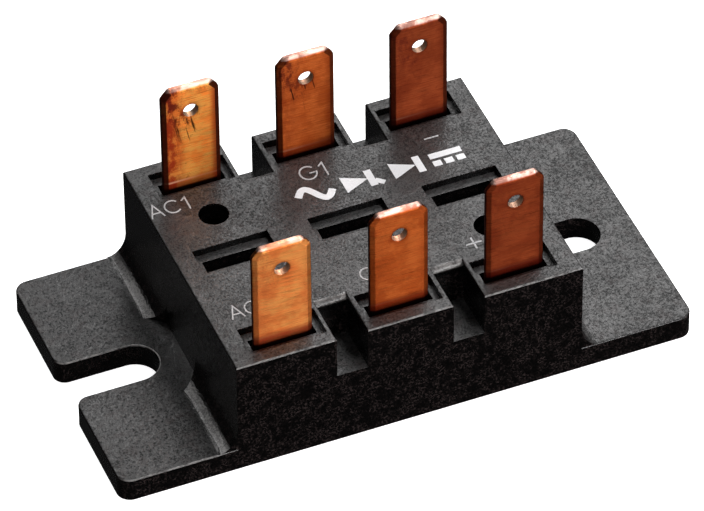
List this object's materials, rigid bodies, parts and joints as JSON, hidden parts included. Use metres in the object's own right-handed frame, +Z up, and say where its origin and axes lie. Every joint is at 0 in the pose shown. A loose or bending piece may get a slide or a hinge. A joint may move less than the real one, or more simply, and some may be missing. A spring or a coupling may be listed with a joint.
{
  "type": "solid state relay module",
  "caption": "Flanged moulded power module with two screw slots, six upright quick-connect tabs on notched towers, a metal base plate and a thyristor and diode bridge inside.",
  "frame": {"origin": "middle of the flat underside, on the heat sink's surface", "axes": "+X along the flange, from the open slot to the closed slot; +Y towards the back row of tabs; +Z up through the tabs"},
  "size_m": [0.0636, 0.0318, 0.0269],
  "materials": {
    "moulded_plastic": "matte",
    "bare_copper": "satin",
    "plate_nickel": "satin",
    "ceramic": "matte",
    "inner_copper": "satin",
    "solder": "satin",
    "silicon": "gloss",
    "gel": "gloss",
    "epoxy": "satin",
    "adhesive": "matte"
  },
  "bodies": {
    "root": {"housing": "moulded_plastic", "base_plate": "plate_nickel", "adhesive_seam": "adhesive", "substrate_solder": "solder", "substrate_bottom_copper": "inner_copper", "ceramic_substrate": "ceramic", "pad_ac1": "inner_copper", "pad_ac2": "inner_copper", "pad_gate_1": "inner_copper", "pad_gate_2": "inner_copper", "pad_plus": "inner_copper", "pad_minus": "inner_copper", "thyristor_die_1": "silicon", "thyristor_die_2": "silicon", "diode_die_1": "silicon", "diode_die_2": "silicon", "die_solder": "solder", "cathode_clip_1": "inner_copper", "cathode_clip_2": "inner_copper", "anode_clip_1": "inner_copper", "anode_clip_2": "inner_copper", "gate_lead_1": "inner_copper", "gate_lead_2": "inner_copper", "terminal_solder": "solder", "silicone_gel": "gel", "epoxy_potting": "epoxy", "terminal_ac1": "bare_copper", "terminal_gate_1": "bare_copper", "terminal_minus": "bare_copper", "terminal_ac2": "bare_copper", "terminal_gate_2": "bare_copper", "terminal_plus": "bare_copper"}
  },
  "joints": []
}
